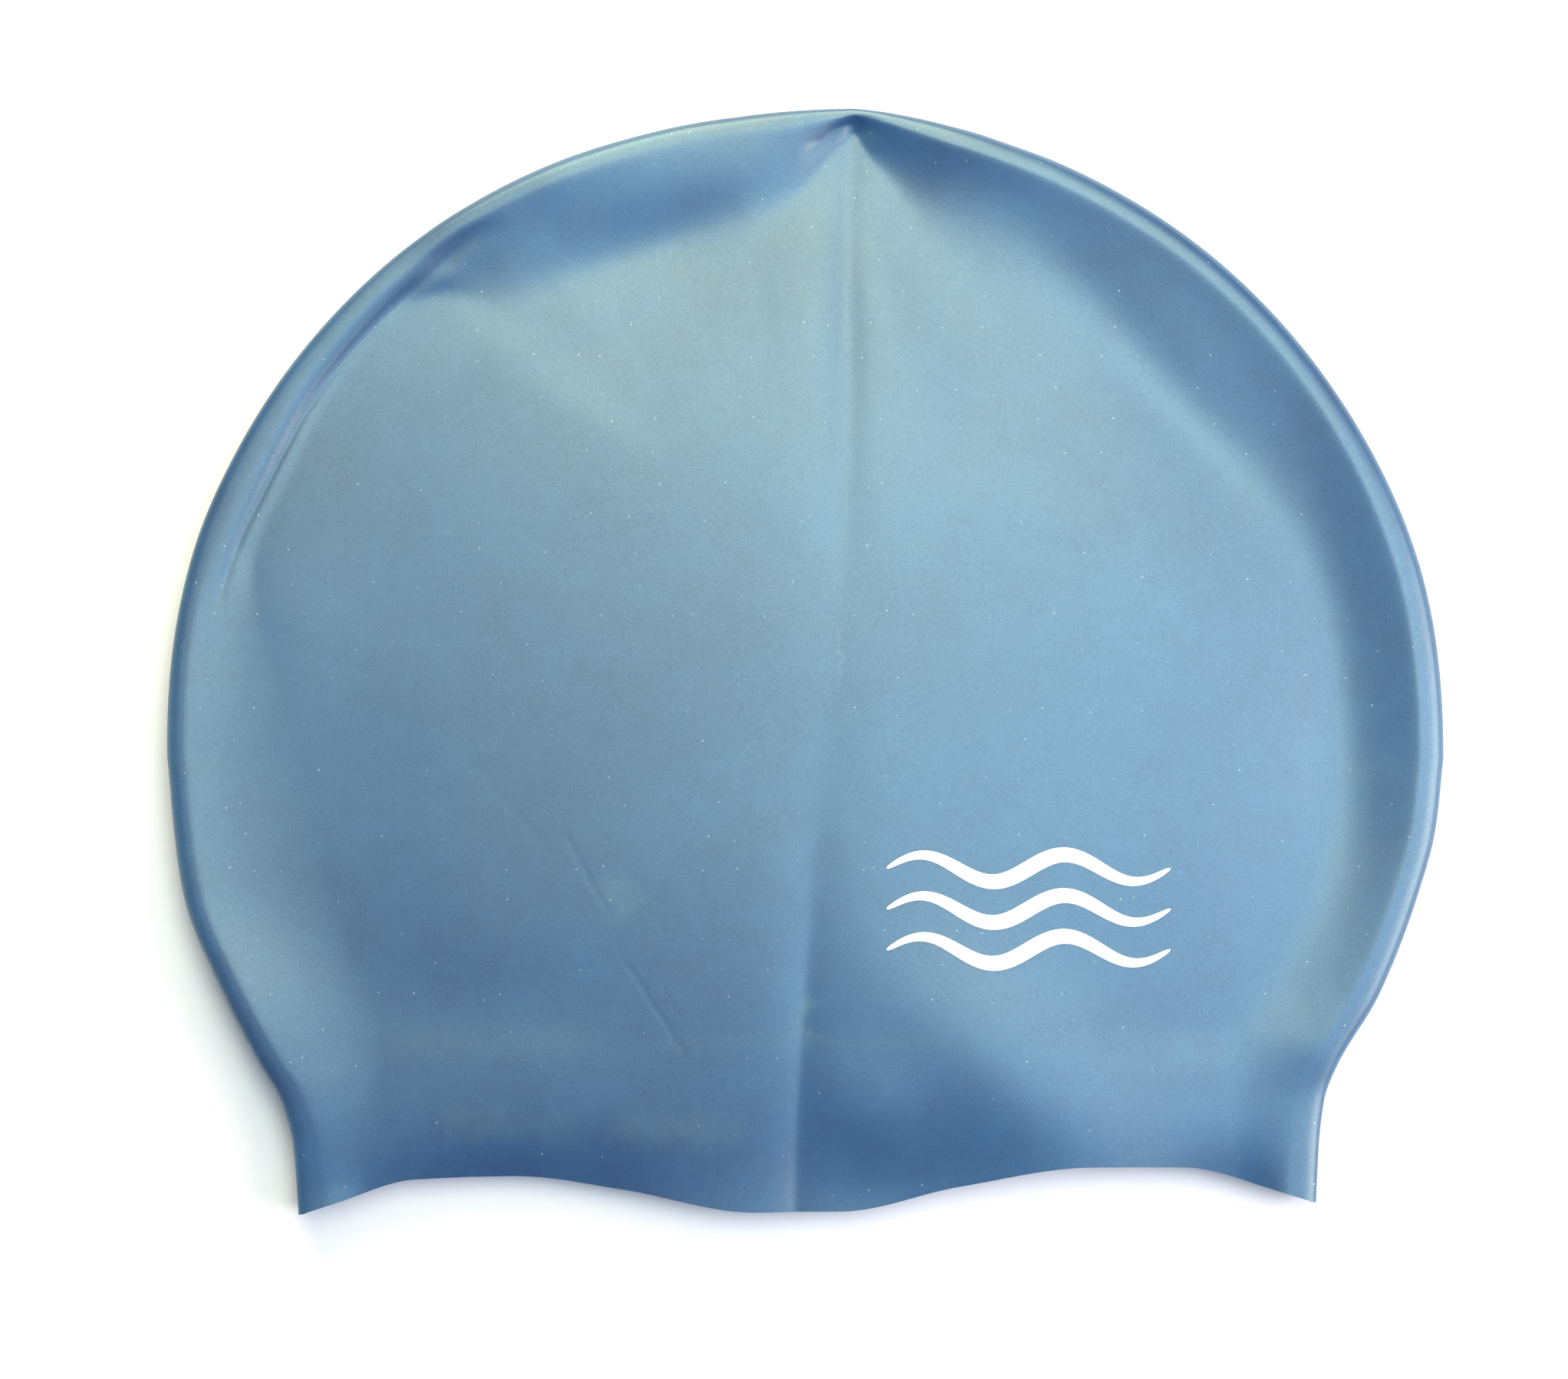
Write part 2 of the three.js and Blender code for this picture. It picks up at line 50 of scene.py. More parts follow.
# Everything about the cap's form, in millimetres.
# Heights are above the table, and levels are above the lowest point of the hem.
cap = {
    "width": 220.0,
    "height": 191.0,
    "widestLevel": 79.0,
    "wall": 1.0,
    "rollMiddle": 6.6,
    "rollSquareness": 3.1,
    "rollShoulder": 0.8,
    "footReach": 4.2,
    "faceLevel": 7.7,
    "faceRise": 3.9,
    "roofRadius": 14.0,
    "backLift": 0.7,
    "backLiftReach": 20.0,
    "backCreaseReach": 3.0,
    "backCreaseRound": 1.5,
    "backCreaseShare": 0.4,
    "backCreaseFoot": 0.05,
    "backCreaseFade": 8.0,
    # half widths below the widest level
    "sides": table(
        "level left right",
        (0, 87.3, 88.3),
        (12, 88.3, 88.8),
        (20, 90.6, 89.7),
        (26, 94.2, 91.9),
        (38, 100.4, 98.9),
        (55, 107.2, 105.5),
        (67, 109.0, 108.7),
        (79, 110.0, 110.0),
    ),
    # the hem in plan: two arches and a lobe between them
    "hem": table(
        "across rise",
        (-87.5, 0),
        (-80, 2.4),
        (-67, 6.1),
        (-49, 6.6),
        (-30, 4.3),
        (-7, 0.5),
        (8, 0.6),
        (28, 5),
        (50, 8.5),
        (66, 8.3),
        (80, 4.8),
        (88.3, 2.2),
    ),
    # how far the upper face has swelled at each level
    "swell": table(
        "level share",
        (0, 0.16),
        (8, 0.29),
        (20, 0.5),
        (40, 0.8),
        (65, 0.97),
        (95, 1),
        (120, 0.93),
        (145, 0.66),
        (165, 0.32),
        (180, 0.1),
        (191, 0),
    ),
    # the packing crease: where it runs, how deep it is, how far its sides reach
    "crease": table(
        "level across depth left right round",
        (0, -1.7, 1.0, 2.4, 7.0, 0.8),
        (25, -0.8, 0.95, 2.8, 7.0, 0.9),
        (40, 0.3, 0.8, 3.2, 6.5, 1.2),
        (60, 1.6, 0.55, 4.0, 6.0, 2.0),
        (75, 2.8, 0.34, 5.0, 5.5, 3.0),
        (100, 5.4, 0.2, 4.0, 4.0, 3.0),
        (125, 6.8, 0.4, 2.6, 2.6, 2.4),
        (150, 7.2, 0.6, 2.4, 2.2, 2.2),
        (168, 7.3, 0.62, 2.8, 2.0, 2.0),
        (178, 7.6, 0.55, 4.5, 1.9, 1.8),
        (184, 7.8, 0.45, 4.5, 1.8, 1.6),
        (188, 8.6, 0.4, 1.5, 1.5, 1.5),
        (191, 8.6, 0.4, 1.5, 1.5, 1.5),
    ),
    # the rolled edge by its bearing: 0 is right, 90 is the crown,
    # and the hem's ends are at -41 and 221
    "roll": table(
        "bearing out top reach fall valley bend ease",
        (-41, 0, 8.8, 4.8, 9, 0, 2.0, 0.5),
        (-34, 0, 9.2, 4.7, 12, 0.2, 2.0, 0.4),
        (-28, 0, 10.2, 4.4, 16, 0.7, 2.0, 0.2),
        (0, 0, 11.2, 4.2, 16, 1.0, 2.0, 0.1),
        (18, 0.8, 11.3, 4.2, 17.5, 1.0, 2.0, 0.1),
        (33, 0.4, 11.5, 4.0, 20.5, 1.0, 2.1, 0.1),
        (53, 0, 11.9, 3.8, 29, 1.0, 2.3, 0),
        (66, -0.3, 12.0, 3.6, 30, 0.9, 2.5, 0),
        (71, -0.3, 11.9, 3.3, 26.5, 0.8, 2.6, 0),
        (76, -0.3, 11.5, 3.0, 20.5, 0.7, 2.6, 0),
        (80, -0.1, 10.8, 2.5, 13.5, 0.6, 2.5, 0),
        (83, 0.1, 10.2, 1.9, 8, 0.4, 2.3, 0),
        (85.5, 0.2, 9.4, 1.3, 3.2, 0.3, 1.8, 0),
        (87, 0, 9.4, 1.7, 5.5, 0.2, 1.8, 0),
        (88.5, -0.2, 9.5, 2.0, 8.5, 0.2, 1.8, 0.2),
        (91, -0.5, 9.9, 2.6, 14, 0.3, 1.8, 0.4),
        (94, -0.8, 10.4, 2.9, 18.5, 0.5, 1.8, 0.5),
        (97, -1.0, 10.8, 3.0, 21.5, 0.7, 1.8, 0.5),
        (106, -0.9, 11.6, 3.2, 23.5, 1.0, 2.0, 0.4),
        (113, -0.5, 11.8, 3.2, 25.5, 0.9, 2.3, 0.1),
        (118, -0.2, 11.4, 3.0, 26.5, 0.7, 2.7, 0),
        (121.5, 0, 11.1, 2.8, 24, 0.6, 3.0, 0),
        (124.5, 0.2, 10.8, 2.6, 18.5, 0.5, 3.0, 0),
        (127, 0.3, 10.5, 2.6, 11.5, 0.45, 2.3, 0.2),
        (129, 0.4, 10.3, 2.6, 7.5, 0.4, 1.4, 0.8),
        (132, 0.5, 10.2, 2.6, 5.6, 0.4, 1.0, 1),
        (136, 0.6, 10.1, 2.6, 5.5, 0.35, 1.0, 1),
        (143, 0.8, 9.9, 2.7, 5.8, 0.25, 1.0, 1),
        (152, 1.0, 9.8, 2.9, 7.2, 0.1, 1.0, 0.9),
        (160, 1.25, 9.7, 3.0, 7.4, 0, 1.0, 0.8),
        (164, 1.1, 9.7, 3.0, 9.5, 0, 1.4, 0.4),
        (169, 0.8, 9.8, 3.0, 14, 0.1, 2.0, 0.3),
        (176, 0.3, 10.0, 3.1, 18.5, 0.2, 2.4, 0.35),
        (183, 0, 10.1, 3.1, 21, 0.3, 2.6, 0.35),
        (192, 0, 10.3, 3.2, 22, 0.3, 2.6, 0.35),
        (202, 0, 10.5, 3.6, 22, 0.3, 2.5, 0.3),
        (214, 0, 9.4, 4.0, 14, 0.1, 1.8, 0.3),
        (221, 0, 8.1, 4.4, 8, 0, 1.6, 0.6),
    ),
    "valleyFade": 26.0,
    "foldStart": 1.5,  # folds come in over this much beside the roll
    # soft swellings and hollows of the upper face: long ovals, turned by their bearing
    "swellings": table(
        "x y height long across bearing",
        (-13, 180, 0.3, 14, 6, 14),
        (-24, 169, -1.1, 27, 7, 23),
        (57, 149, -0.75, 30, 7, -50),
        (92, 88, -0.5, 32, 7, -85),
        (-33, 158.5, 0.35, 20, 4.2, 28),
        (-52, 36, -0.3, 26, 9, 0),
        (-51, 0, -3.3, 25, 9.5, 3),
        (-94, 88, 0.6, 38, 15, 90),
        (17, 4, -1.3, 22, 12, 0),
        (36, 21.5, 2.1, 28, 15.5, -44),
        (12, 17, 0.8, 13, 9, -44),
        (74, -1, -2.3, 14, 10, -10),
    ),
    # fine folds of the upper face, each along a line of plan points
    "folds": {
        "leftEdgeLine": table(
            "x y height width",
            (-52, 171.5, 0, 1.6),
            (-58, 168, -0.4, 1.8),
            (-63.3, 163.6, -0.6, 1.6),
            (-68, 159.4, -0.6, 1.1),
            (-73.4, 154.5, -0.5, 0.9),
            (-79.2, 148.2, -0.5, 0.8),
            (-83, 143.4, -0.5, 0.8),
            (-86.9, 137.6, -0.5, 0.8),
            (-90.7, 130.4, -0.45, 0.8),
            (-94.1, 123.7, -0.4, 0.8),
            (-97, 117.9, -0.35, 0.8),
            (-99.4, 111.6, -0.2, 0.8),
            (-101.8, 103.4, 0, 0.8),
        ),
        "apexLeftArm": table(
            "x y height width",
            (8.6, 189.2, -0.6, 1.2),
            (6.0, 187.6, -0.5, 0.9),
            (2.6, 185.2, -0.35, 0.8),
            (-0.5, 183.2, 0, 0.8),
        ),
    },
    # how finely the surface is drawn
    "sideStep": 1.4,
    "fanStep": 0.95,
    "crownStart": 78.0,
    "fanStepAtCrown": 0.4,
    "rimSteps": 24,
    "upperColumns": 186,
    "lowerColumns": 30,
    "innerStep": 3,
    "closestColumns": 0.25,  # smaller packs columns closer beside the roll and the crease
    "openColumns": 1.2,
    "rollZone": 12.0,
    "creaseZone": 10.0,
    "spreadSteps": 400,
    "mergeDistance": 1e-7,
    "sharpAngle": 50.0,
}

halfWidth = cap["width"] / 2
crownRise = cap["height"] - cap["widestLevel"]


def clamp01(v):
    return np.clip(v, 0.0, 1.0)


def mix(a, b, t):
    return a + (b - a) * t


def smooth(t):
    return t * t * (3 - 2 * t)


def along(rows, keyName, valueName, key):  # a smooth curve through one column of a table
    xs, ys = rows[keyName], rows[valueName]
    spans = np.diff(xs)
    rises = np.diff(ys) / spans
    before, after = rises[:-1], rises[1:]
    bends = before * after <= 0
    total = np.where(bends, 1.0, before + after)
    slopes = np.r_[rises[0], np.where(bends, 0.0, 2 * before * after / total), rises[-1]]
    at = np.clip(key, xs[0], xs[-1])
    i = np.clip(np.searchsorted(xs, at) - 1, 0, len(xs) - 2)
    t = (at - xs[i]) / spans[i]
    curveIn = t * (1 - t) ** 2 * spans[i] * slopes[i]
    curveOut = t * t * (1 - t) * spans[i] * slopes[i + 1]
    return mix(ys[i], ys[i + 1], smooth(t)) + curveIn - curveOut


def swellings(rows, x, y):  # what the soft ovals add at plan points
    total = 0
    for cx, cy, height, long, across, bearing in zip(*rows.values()):
        turn = math.radians(bearing)
        u = ((x - cx) * math.cos(turn) + (y - cy) * math.sin(turn)) / long
        v = ((y - cy) * math.cos(turn) - (x - cx) * math.sin(turn)) / across
        total = total + height * np.exp(-u * u - v * v)
    return total


def foldHeight(rows, x, y):  # what a fine fold adds at plan points
    nearest = np.full(np.shape(x), np.inf)
    height = np.zeros(np.shape(x))
    width = np.ones(np.shape(x))
    for i in range(len(rows["x"]) - 1):
        ax, bx = rows["x"][i : i + 2]
        ay, by = rows["y"][i : i + 2]
        lengthSquared = (bx - ax) ** 2 + (by - ay) ** 2
        t = clamp01(((x - ax) * (bx - ax) + (y - ay) * (by - ay)) / lengthSquared)
        distance = np.hypot(x - mix(ax, bx, t), y - mix(ay, by, t))
        closer = distance < nearest
        height = np.where(closer, mix(*rows["height"][i : i + 2], smooth(t)), height)
        width = np.where(closer, mix(*rows["width"][i : i + 2], t), width)
        nearest = np.where(closer, distance, nearest)
    return height * np.exp(-((nearest / width) ** 2))


def creaseShape(offset, left, right, roundness):
    return np.exp(-(np.hypot(offset, roundness) - roundness) / np.where(offset < 0, left, right))


def creaseAcross(y):
    return along(cap["crease"], "level", "across", y)


def pullOfCrease(offset):
    return (1 - (offset / halfWidth) ** 2) ** 2


# a row of the surface below the widest level, from the outline in to the crease
def sideRow(side, level):
    fade = 1 - level / cap["widestLevel"]
    corner = cap["hem"]["across"][0 if side < 0 else -1]
    outlineLevel = level + hemRise(corner, fade)
    x = side * along(cap["sides"], "level", "left" if side < 0 else "right", outlineLevel)
    below = math.degrees(math.atan2(cap["widestLevel"] - outlineLevel, abs(x)))
    return {
        "bearing": 180 + below if side < 0 else -below,
        "length": abs(x),
        "place": lambda share: (x * share, level + hemRise(corner * share, fade)),
    }


def hemRise(across, fade):
    return along(cap["hem"], "across", "rise", across) * fade


# a row of the crown, fanning out from the crease at the widest level
def crownRow(fan):
    angle = math.radians(fan)
    offset = halfWidth * math.cos(angle)
    levelThere = cap["widestLevel"] + crownRise * math.sin(angle)
    bearing = math.acos((offset + creaseAcross(levelThere) * pullOfCrease(offset)) / halfWidth)
    rise = crownRise * math.sin(bearing)
    return {
        "bearing": math.degrees(bearing),
        "length": math.hypot(offset, rise),
        "place": lambda share: (offset * share, cap["widestLevel"] + rise * share),
    }


def rollValue(row, name):
    return along(cap["roll"], "bearing", name, row["bearing"])


def planPoints(row, distance):  # plan points of a row at distances in from the outline
    offset, y = row["place"](1 - (distance - rollValue(row, "out")) / row["length"])
    return offset + creaseAcross(y) * pullOfCrease(offset), y, offset


def faceHeight(x, y, offset):  # the upper face away from the roll
    radius = cap["roofRadius"]
    across = (np.hypot(offset, radius) - radius) / (math.hypot(halfWidth, radius) - radius)
    swell = cap["faceRise"] * along(cap["swell"], "level", "share", y) * (1 - across)
    shape = [along(cap["crease"], "level", name, y) for name in ("left", "right", "round")]
    crease = along(cap["crease"], "level", "depth", y) * creaseShape(offset, *shape)
    return cap["faceLevel"] + swell + swellings(cap["swellings"], x, y) - crease


def upperPoints(row, inside):
    x, y, offset = planPoints(row, rollValue(row, "reach") + inside)
    fall, shoulder = rollValue(row, "fall"), cap["rollShoulder"]
    q = clamp01((np.hypot(inside, shoulder) - shoulder) / (math.hypot(fall, shoulder) - shoulder))
    ramp = mix(1 - (1 - q) ** rollValue(row, "bend"), smooth(q), rollValue(row, "ease"))
    beyond = clamp01((inside - fall) / cap["valleyFade"])
    dip = rollValue(row, "valley") * smooth(clamp01(inside / fall)) * (1 - smooth(beyond))
    z = mix(rollValue(row, "top"), faceHeight(x, y, offset), ramp) - dip
    folds = sum(foldHeight(rows, x, y) for rows in cap["folds"].values())
    z = z + folds * clamp01(inside / cap["foldStart"])
    return np.stack([x, y, z], axis=-1)


def lowerPoints(row, inside):
    x, y, offset = planPoints(row, cap["footReach"] + inside)
    lift = cap["backLift"] * np.sin(math.pi * clamp01(inside / cap["backLiftReach"])) ** 2
    foot = cap["backCreaseFoot"]
    reach = cap["backCreaseReach"]
    shape = creaseShape(offset, reach, reach, cap["backCreaseRound"])
    crease = np.maximum(0, shape - foot) / (1 - foot)
    depth = cap["backCreaseShare"] * along(cap["crease"], "level", "depth", y)
    z = lift + depth * clamp01(inside / cap["backCreaseFade"]) * crease
    return np.stack([x, y, z], axis=-1)


# the roll: an ellipse from its foot out to the outline, and a squarer one up to its top
def rimPoints(row, angle):
    power = 2 / np.where(angle < 0, 2, cap["rollSquareness"])
    reach = np.where(angle < 0, cap["footReach"], rollValue(row, "reach"))
    x, y, _ = planPoints(row, reach * (1 - np.maximum(0, np.cos(angle)) ** power))
    half = np.where(angle < 0, -cap["rollMiddle"], rollValue(row, "top") - cap["rollMiddle"])
    return np.stack([x, y, cap["rollMiddle"] + half * np.abs(np.sin(angle)) ** power], axis=-1)


def closeness(distance, zone):  # how densely columns stand near the roll or the crease
    return 1 / (cap["closestColumns"] + np.minimum(distance / zone, cap["openColumns"]))


# distances in from the roll, close together near it and near the crease
def spread(room, count):
    t = np.linspace(0, 1, cap["spreadSteps"])
    inside = room * t
    density = closeness(inside, cap["rollZone"]) + closeness(room - inside, cap["creaseZone"])
    travelled = np.r_[0, np.cumsum((density[1:] + density[:-1]) / 2)]
    return room * np.interp(np.linspace(0, 1, count + 1)[1:], travelled / travelled[-1], t)


def rowPoints(row):
    room = row["length"] + rollValue(row, "out")
    lower = lowerPoints(row, spread(room - cap["footReach"], cap["lowerColumns"])[::-1])
    rim = rimPoints(row, np.linspace(-math.pi / 2, math.pi / 2, cap["rimSteps"] + 1))
    upper = upperPoints(row, spread(room - rollValue(row, "reach"), cap["upperColumns"]))
    return np.concatenate([lower, rim, upper])


def capRows():
    widest, crownStart = cap["widestLevel"], cap["crownStart"]
    levels = np.linspace(0, widest, round(widest / cap["sideStep"]) + 1)
    fans = np.r_[
        np.linspace(0, crownStart, round(crownStart / cap["fanStep"]) + 1)[1:],
        np.linspace(crownStart, 90, round((90 - crownStart) / cap["fanStepAtCrown"]) + 1)[1:],
    ]
    rows = [sideRow(1, level) for level in levels] + [crownRow(fan) for fan in fans]
    rows += [crownRow(180 - fan) for fan in fans[-2::-1]]
    return rows + [sideRow(-1, level) for level in levels[::-1]]


# the tables' millimetres to metres, with the middle of the footprint at the origin
def toFrame(points):
    return (points - [0, cap["height"] / 2, 0]) * mm


# a smooth mesh of grids of points, with strips of faces between them
def meshFromGrid(name, grids, strips=()):
    places, faces, start = [], [], 0
    for grid in grids:
        rows, columns = grid.shape[:2]
        number = start + np.arange(rows * columns).reshape(rows, columns)
        corners = [number[:-1, :-1], number[1:, :-1], number[1:, 1:], number[:-1, 1:]]
        faces += np.stack(corners, axis=-1).reshape(-1, 4).tolist()
        places.append(grid.reshape(-1, 3))
        start += rows * columns
    mesh = bpy.data.meshes.new(name)
    mesh.from_pydata(np.concatenate(places).tolist(), [], faces + list(strips))
    work = bmesh.new()
    work.from_mesh(mesh)
    merge = cap["mergeDistance"]
    bmesh.ops.remove_doubles(work, verts=work.verts, dist=merge)
    bmesh.ops.dissolve_degenerate(work, edges=work.edges, dist=merge / 10)
    work.to_mesh(mesh)
    work.free()
    mesh.shade_smooth()
    mesh.set_sharp_from_angle(angle=math.radians(cap["sharpAngle"]))
    piece = bpy.data.objects.new(name, mesh)
    bpy.context.scene.collection.objects.link(piece)
    return piece


# outward normals, from the neighbours of each point, and upright along the crease
def gridNormals(grid):
    normals = np.cross(np.gradient(grid, axis=0), np.gradient(grid, axis=1))
    lengths = np.linalg.norm(normals, axis=-1, keepdims=True)
    normals /= np.maximum(lengths, 1e-9)
    normals[:, 0] = (0, 0, -1)
    normals[:, -1] = (0, 0, 1)
    return normals


# faces that close the wall along one hem row
def hemStrips(rows, columns, innerColumns, outerRow, innerRow):
    step = cap["innerStep"]
    strips = []
    for c in range(innerColumns - 1):
        outerEdge = [outerRow * columns + c * step + i for i in range(step + 1)]
        innerEnd = rows * columns + innerRow * innerColumns + innerColumns - 1 - c
        strips.append(outerEdge + [innerEnd - 1, innerEnd])
    return strips


def makeCap():
    outer = np.array([rowPoints(row) for row in capRows()])
    inner = (outer - cap["wall"] * gridNormals(outer))[:: cap["innerStep"], :: cap["innerStep"]]
    rows, columns = outer.shape[:2]
    innerRows, innerColumns = inner.shape[:2]
    strips = hemStrips(rows, columns, innerColumns, 0, 0)
    lastStrips = hemStrips(rows, columns, innerColumns, rows - 1, innerRows - 1)
    strips += [strip[::-1] for strip in lastStrips]
    piece = meshFromGrid("cap_silicone", [toFrame(outer), toFrame(inner[:, ::-1])], strips)
    triangles = sum(len(face.vertices) - 2 for face in piece.data.polygons)
    print("cap built:", triangles, "triangles,", rows, "rows,", columns, "columns")
    return piece


capPiece = makeCap()
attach(capPiece, "root")
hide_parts("cap_shell")


# The print: three plain wave lines in thick white ink
waves = {
    "middle": (38.3, 53.0),
    "length": 49.0,
    "waveLength": 24.5,
    "waveHeight": 2.3,
    "spacing": 7.0,
    "thickness": 2.7,
    "endThickness": 0.7,
    "proud": 0.05,
    "sunk": 0.06,
    "count": 3,
    "endSquareness": 40,
    "steps": 150,
    "stepsAcross": 8,
    "castFrom": 50.0,
}


def capSurface(x, y):  # height of the cap's upper face above a plan point
    start = Vector(toFrame(np.array([x, y, waves["castFrom"]])))
    found, place, _, _ = capPiece.ray_cast(start, Vector((0, 0, -1)))
    return place.z / mm if found else cap["faceLevel"]


def waveGrid(number):
    middleX, middleY = waves["middle"]
    rise = (number - (waves["count"] - 1) / 2) * waves["spacing"]
    turn = 2 * math.pi / waves["waveLength"]
    grid = []
    for u in np.linspace(-1, 1, waves["steps"] + 1):
        x = u * waves["length"] / 2
        y = rise + waves["waveHeight"] * math.sin(turn * x)
        slope = waves["waveHeight"] * turn * math.cos(turn * x)
        sideways = np.array([-slope, 1.0]) / math.hypot(slope, 1)
        roundEnd = math.sqrt(max(0.0, 1 - abs(u) ** waves["endSquareness"]))
        half = mix(waves["endThickness"], waves["thickness"], 1 - u * u) / 2 * roundEnd
        middle = np.array([middleX + x, middleY + y])
        shares = np.linspace(-1, 1, waves["stepsAcross"] + 1)
        points = [middle + sideways * half * share for share in shares]
        grid.append([(px, py, capSurface(px, py) + waves["proud"]) for px, py in points])
    return np.array(grid)


def makeWavePrint():
    grids = [toFrame(waveGrid(number))[::-1] for number in range(waves["count"])]
    piece = meshFromGrid("wave_print", grids)
    solidify = piece.modifiers.new("ink", "SOLIDIFY")
    solidify.thickness = (waves["proud"] + waves["sunk"]) * mm
    solidify.offset = -1
    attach(piece, "root")
    print("print built")
    return piece


bpy.context.view_layer.update()
printPiece = makeWavePrint()


# Shader maths: one class wraps a socket, and expressions on it add the nodes
class Value:
    def __init__(self, tree, socket):
        self.tree = tree
        self.socket = socket

    def maths(self, operation, *others, first=None):
        node = self.tree.nodes.new("ShaderNodeMath")
        node.operation = operation
        for slot, entry in enumerate([self if first is None else first, *others]):
            if isinstance(entry, Value):
                self.tree.links.new(entry.socket, node.inputs[slot])
            else:
                node.inputs[slot].default_value = entry
        return Value(self.tree, node.outputs[0])

    def __add__(self, other):
        return self.maths("ADD", other)

    def __radd__(self, other):
        return self.maths("ADD", other)

    def __sub__(self, other):
        return self.maths("SUBTRACT", other)

    def __rsub__(self, other):
        return self.maths("SUBTRACT", self, first=other)

    def __mul__(self, other):
        return self.maths("MULTIPLY", other)

    def __rmul__(self, other):
        return self.maths("MULTIPLY", other)

    def __truediv__(self, other):
        return self.maths("DIVIDE", other)

    def ease(self, low, high):  # 0 at low, 1 at high, smooth between
        node = self.tree.nodes.new("ShaderNodeMapRange")
        node.interpolation_type = "SMOOTHSTEP"
        self.tree.links.new(self.socket, node.inputs["Value"])
        node.inputs["From Min"].default_value = low
        node.inputs["From Max"].default_value = high
        return Value(self.tree, node.outputs["Result"])


class Finish:  # a material, and the one way its nodes are made
    def __init__(self, name):
        self.material = bpy.data.materials.new(name)
        self.material.use_nodes = True
        self.tree = self.material.node_tree
        self.tree.nodes.clear()

    def node(self, kind, settings=None, inputs=None, output=0):
        node = self.tree.nodes.new("ShaderNode" + kind)
        for key, setting in (settings or {}).items():
            setattr(node, key, setting)
        for key, entry in (inputs or {}).items():
            if isinstance(entry, Value):
                self.tree.links.new(entry.socket, node.inputs[key])
            else:
                node.inputs[key].default_value = entry
        return Value(self.tree, node.outputs[output])

    def blend(self, factor, low, high):  # colours through Mix
        inputs = {0: factor, 6: low, 7: high}
        return self.node("Mix", {"data_type": "RGBA"}, inputs, output=2)

    def vector(self, operation, first, second, output=0):
        return self.node("VectorMath", {"operation": operation}, {0: first, 1: second}, output)

    def scaled(self, vector, factor):
        return self.node("VectorMath", {"operation": "SCALE"}, {0: vector, 3: factor})

    def flat(self, vector):  # without its height
        return self.vector("MULTIPLY", vector, (1, 1, 0))

    def rise(self, vector):  # its part along the height
        return self.vector("DOT_PRODUCT", vector, (0, 0, 1), 1)

    def millimetres(self):
        return self.scaled(self.node("TexCoord", output=3), 1 / mm)

    # 1 along a line in plan, 0 at its ends and beyond its reach
    def stroke(self, plan, start, end, reach):
        run = (end[0] - start[0], end[1] - start[1], 0)
        away = self.vector("SUBTRACT", plan, (*start, 0))
        share = self.vector("DOT_PRODUCT", away, run, 1) / (run[0] ** 2 + run[1] ** 2)
        distance = self.vector("DISTANCE", away, self.scaled(run, share), 1)
        taper = (share * (1 - share)).ease(0, 0.2)
        return taper * (1 - distance.ease(0, reach))

    def strokes(self, plan, rows):  # the sum of a table's strokes, each by its strength
        total = 0
        for x, y, toX, toY, reach, strength in zip(*rows.values()):
            total = total + self.stroke(plan, (x, y), (toX, toY), reach) * strength
        return total

    def noise(self, place, scale, detail, roughness):
        inputs = {"Vector": place, "Scale": scale, "Detail": detail, "Roughness": roughness}
        return self.node("TexNoise", None, inputs)

    def bump(self, height, strength, distance):
        inputs = {"Height": height, "Strength": strength, "Distance": distance}
        return self.node("Bump", None, inputs)

    def finishWith(self, shader):
        output = self.tree.nodes.new("ShaderNodeOutputMaterial")
        self.tree.links.new(shader.socket, output.inputs["Surface"])
        return self.material


silicone = {
    "deepBlue": (0.0113, 0.047, 0.151, 1),
    "paleBlue": (0.0166, 0.0755, 0.208, 1),
    "dust": (0.07, 0.14, 0.2, 1),
    "speck": (0.36, 0.44, 0.47, 1),
    "pearl": (0.72, 1.0, 1.0, 1),
    "pearlShare": 0.08,
    "pearlGrain": 1.0,  # how much the pearl's share changes from grain to grain
    "pearlRoughness": 0.42,
    "roughness": 0.44,
    "cloudScale": 0.03,
    "patchScale": 0.2,
    "patchShare": 0.35,
    "grainScale": 2.6,
    "grainDepth": 0.01,
    "creaseDepth": 0.016,
    "speckSpacing": 5.5,
    "speckRadius": 0.24,
    "wearScale": 0.5,
    "driftScale": 0.3,
    "waver": 8.0,  # how far smudges are drawn out of shape
    "creaseWaver": 0.12,  # the share of it that creases get
    # fine creases pressed into the rubber, in plan from the hem's middle
    "creases": table(
        "x y toX toY reach strength",
        (-42.5, 68, -33, 50.5, 1.1, 1.0),
        (-40.5, 41.5, -32, 45, 1.4, 0.7),
        (-32.5, 46.5, -19.5, 26, 1.1, 1.2),
        (-45, 22.5, -40.5, 14.5, 0.8, 0.6),
        (-60, 81, -42, 61, 1.8, 0.5),
    ),
    # pale smudges and scuffs
    "smudges": table(
        "x y toX toY reach strength",
        (-66, 17.5, -36, 13.5, 5.0, 0.24),
        (-35, 16, -10, 14, 5.0, 0.28),
        (-78, 30, -30, 30, 5.0, 0.18),
        (-30, 29.5, 30, 30.5, 3.0, 0.15),
        (-36, 58.5, -29, 52, 4.5, 0.35),
        (-0.9, 38.5, -0.2, 28.5, 2.4, 0.45),
        (5.3, 90, 5.3, 102, 0.6, 0.5),
    ),
}


